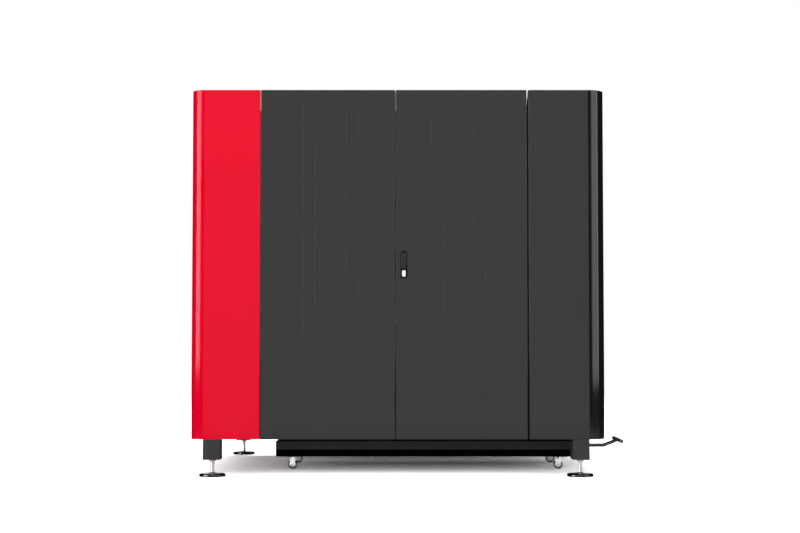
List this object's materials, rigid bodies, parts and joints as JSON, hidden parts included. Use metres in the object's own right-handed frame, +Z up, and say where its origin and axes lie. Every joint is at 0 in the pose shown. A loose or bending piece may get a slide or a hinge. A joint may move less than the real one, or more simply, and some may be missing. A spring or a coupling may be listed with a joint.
{
  "type": "fiber laser cutting machine",
  "caption": "Compact enclosed sheet-metal laser cutter on levelling feet, with service doors, a lift-up loading door, a gantry over a slatted bed and a roll-out scrap cart.",
  "frame": {"origin": "on the floor, under the middle of the machine with its tow bar", "axes": "+Z up; -Y out of the service doors; +X towards the tow bar"},
  "size_m": [2.248, 1.817, 1.94],
  "materials": {
    "red_paint": "gloss powder coat",
    "dark_paint": "satin powder coat",
    "frame_paint": "satin powder coat",
    "cart_paint": "satin powder coat",
    "inner_paint": "light grey powder coat",
    "zinc": "bright zinc plate",
    "chrome": "polished nickel plate",
    "steel": "ground steel",
    "slat_steel": "mild steel, heat marked",
    "aluminium": "anodised",
    "black_plastic": "moulded",
    "white_plastic": "moulded",
    "red_plastic": "moulded",
    "green_plastic": "moulded",
    "grey_plastic": "moulded",
    "screen": "moulded case",
    "laser_glass": "tinted filter pane",
    "copper": "turned copper",
    "wheel": "black tyre on a pale hub"
  },
  "bodies": {
    "machine_frame": {"base_frame": "frame_paint", "foot_discs": "chrome", "foot_studs": "zinc", "foot_lock_nuts": "zinc", "red_end_shell": "red_paint", "black_end_shell": "dark_paint", "roof_panel": "dark_paint", "exhaust_collar": "zinc", "bulkhead": "inner_paint", "compartment_floor": "zinc", "hinge_arms": "zinc", "latch_keepers": "zinc", "front_apron": "dark_paint", "front_header": "dark_paint", "door_guides": "aluminium", "touch_screen": "screen", "control_panel": "black_plastic", "table_frame": "frame_paint", "cutting_slats": "slat_steel", "scrap_chute": "zinc", "y_guide_rails": "steel", "y_magnet_tracks": "steel", "laser_source": "inner_paint", "electrical_plate": "zinc", "servo_drives": "grey_plastic", "breaker_row": "grey_plastic"},
    "left_service_door": {"left_service_door": "dark_paint", "left_hinge_pins": "zinc"},
    "right_service_door": {"right_service_door": "dark_paint", "right_hinge_pins": "zinc", "handle_plate": "black_plastic"},
    "latch_spindle": {"latch_spindle": "zinc"},
    "latch_lever": {"latch_lever": "black_plastic"},
    "latch_button": {"latch_button": "white_plastic"},
    "upper_latch_rod": {"upper_latch_rod": "zinc"},
    "lower_latch_rod": {"lower_latch_rod": "zinc"},
    "loading_door": {"loading_door": "dark_paint", "laser_window": "laser_glass", "door_pull": "chrome"},
    "start_button": {"start_button": "green_plastic"},
    "stop_button": {"stop_button": "grey_plastic"},
    "e_stop": {"e_stop": "red_plastic"},
    "gantry": {"gantry_beam": "aluminium", "gantry_runners": "steel", "x_guide_rails": "steel"},
    "x_carriage": {"x_carriage": "aluminium", "z_motor": "black_plastic"},
    "cutting_head": {"cutting_head": "aluminium", "nozzle": "copper"},
    "scrap_cart": {"cart_chassis": "cart_paint", "cart_tray": "cart_paint", "near_left_castor_fork": "zinc", "far_left_castor_fork": "zinc"},
    "tow_bar": {"tow_bar": "cart_paint"},
    "near_left_castor_wheel": {"near_left_castor_wheel": "wheel"},
    "far_left_castor_wheel": {"far_left_castor_wheel": "wheel"},
    "near_right_castor_fork": {"near_right_castor_fork": "zinc"},
    "near_right_castor_wheel": {"near_right_castor_wheel": "wheel"},
    "far_right_castor_fork": {"far_right_castor_fork": "zinc"},
    "far_right_castor_wheel": {"far_right_castor_wheel": "wheel"}
  },
  "joints": [
    {"name": "left_door_swing", "type": "hinge", "parent": "machine_frame", "child": "left_service_door", "pos_m": [-0.7335, -0.878, 1.05], "axis": [0, 0, 1], "range_deg": [-90, 0]},
    {"name": "right_door_swing", "type": "hinge", "parent": "machine_frame", "child": "right_service_door", "pos_m": [0.5215, -0.878, 1.05], "axis": [0, 0, 1], "range_deg": [0, 90]},
    {"name": "handle_turn", "type": "hinge", "parent": "right_service_door", "child": "latch_spindle", "pos_m": [-0.056, -0.89, 1.1155], "axis": [0, -1, 0], "range_deg": [0, 90]},
    {"name": "lever_lift", "type": "hinge", "parent": "latch_spindle", "child": "latch_lever", "pos_m": [-0.056, -0.9025, 1.1155], "axis": [-1, 0, 0], "range_deg": [0, 40]},
    {"name": "latch_button_press", "type": "slide", "parent": "right_service_door", "child": "latch_button", "axis": [0, 1, 0], "range_m": [0, 0.004], "stiffness_N_per_m": 400},
    {"name": "upper_rod_slide", "type": "slide", "parent": "right_service_door", "child": "upper_latch_rod", "axis": [0, 0, 1], "range_m": [-0.026, 0]},
    {"name": "lower_rod_slide", "type": "slide", "parent": "right_service_door", "child": "lower_latch_rod", "axis": [0, 0, 1], "range_m": [0, 0.026]},
    {"name": "loading_door_lift", "type": "slide", "parent": "machine_frame", "child": "loading_door", "axis": [0, 0, 1], "range_m": [0, 0.6]},
    {"name": "start_button_press", "type": "slide", "parent": "machine_frame", "child": "start_button", "axis": [0, -1, 0], "range_m": [0, 0.004], "stiffness_N_per_m": 400},
    {"name": "stop_button_press", "type": "slide", "parent": "machine_frame", "child": "stop_button", "axis": [0, -1, 0], "range_m": [0, 0.004], "stiffness_N_per_m": 400},
    {"name": "e_stop_press", "type": "slide", "parent": "machine_frame", "child": "e_stop", "axis": [0, -1, 0], "range_m": [0, 0.004], "stiffness_N_per_m": 400},
    {"name": "gantry_travel", "type": "slide", "parent": "machine_frame", "child": "gantry", "axis": [0, 1, 0], "range_m": [0, 0.88]},
    {"name": "carriage_travel", "type": "slide", "parent": "gantry", "child": "x_carriage", "axis": [1, 0, 0], "range_m": [0, 1.3]},
    {"name": "head_lift", "type": "slide", "parent": "x_carriage", "child": "cutting_head", "axis": [0, 0, 1], "range_m": [0, 0.1]},
    {"name": "cart_roll", "type": "slide", "parent": "machine_frame", "child": "scrap_cart", "axis": [1, 0, 0], "range_m": [0, 1.7]},
    {"name": "tow_bar_lift", "type": "hinge", "parent": "scrap_cart", "child": "tow_bar", "pos_m": [0.871, -0.12, 0.112], "axis": [0, -1, 0], "range_deg": [0, 30]},
    {"name": "near_left_castor_roll", "type": "hinge", "parent": "scrap_cart", "child": "near_left_castor_wheel", "pos_m": [-0.646, -0.34, 0.025], "axis": [0, 1, 0], "continuous": true},
    {"name": "far_left_castor_roll", "type": "hinge", "parent": "scrap_cart", "child": "far_left_castor_wheel", "pos_m": [-0.646, 0.105, 0.025], "axis": [0, 1, 0], "continuous": true},
    {"name": "near_right_castor_swivel", "type": "hinge", "parent": "scrap_cart", "child": "near_right_castor_fork", "pos_m": [0.778, -0.34, 0.065], "axis": [0, 0, 1], "continuous": true},
    {"name": "near_right_castor_roll", "type": "hinge", "parent": "near_right_castor_fork", "child": "near_right_castor_wheel", "pos_m": [0.764, -0.34, 0.025], "axis": [0, 1, 0], "continuous": true},
    {"name": "far_right_castor_swivel", "type": "hinge", "parent": "scrap_cart", "child": "far_right_castor_fork", "pos_m": [0.778, 0.105, 0.065], "axis": [0, 0, 1], "continuous": true},
    {"name": "far_right_castor_roll", "type": "hinge", "parent": "far_right_castor_fork", "child": "far_right_castor_wheel", "pos_m": [0.764, 0.105, 0.025], "axis": [0, 1, 0], "continuous": true}
  ],
  "couplings": [
    {"joint": "upper_rod_slide", "follows": "handle_turn", "m_per_rad": -0.016206},
    {"joint": "lower_rod_slide", "follows": "handle_turn", "m_per_rad": 0.016206}
  ]
}
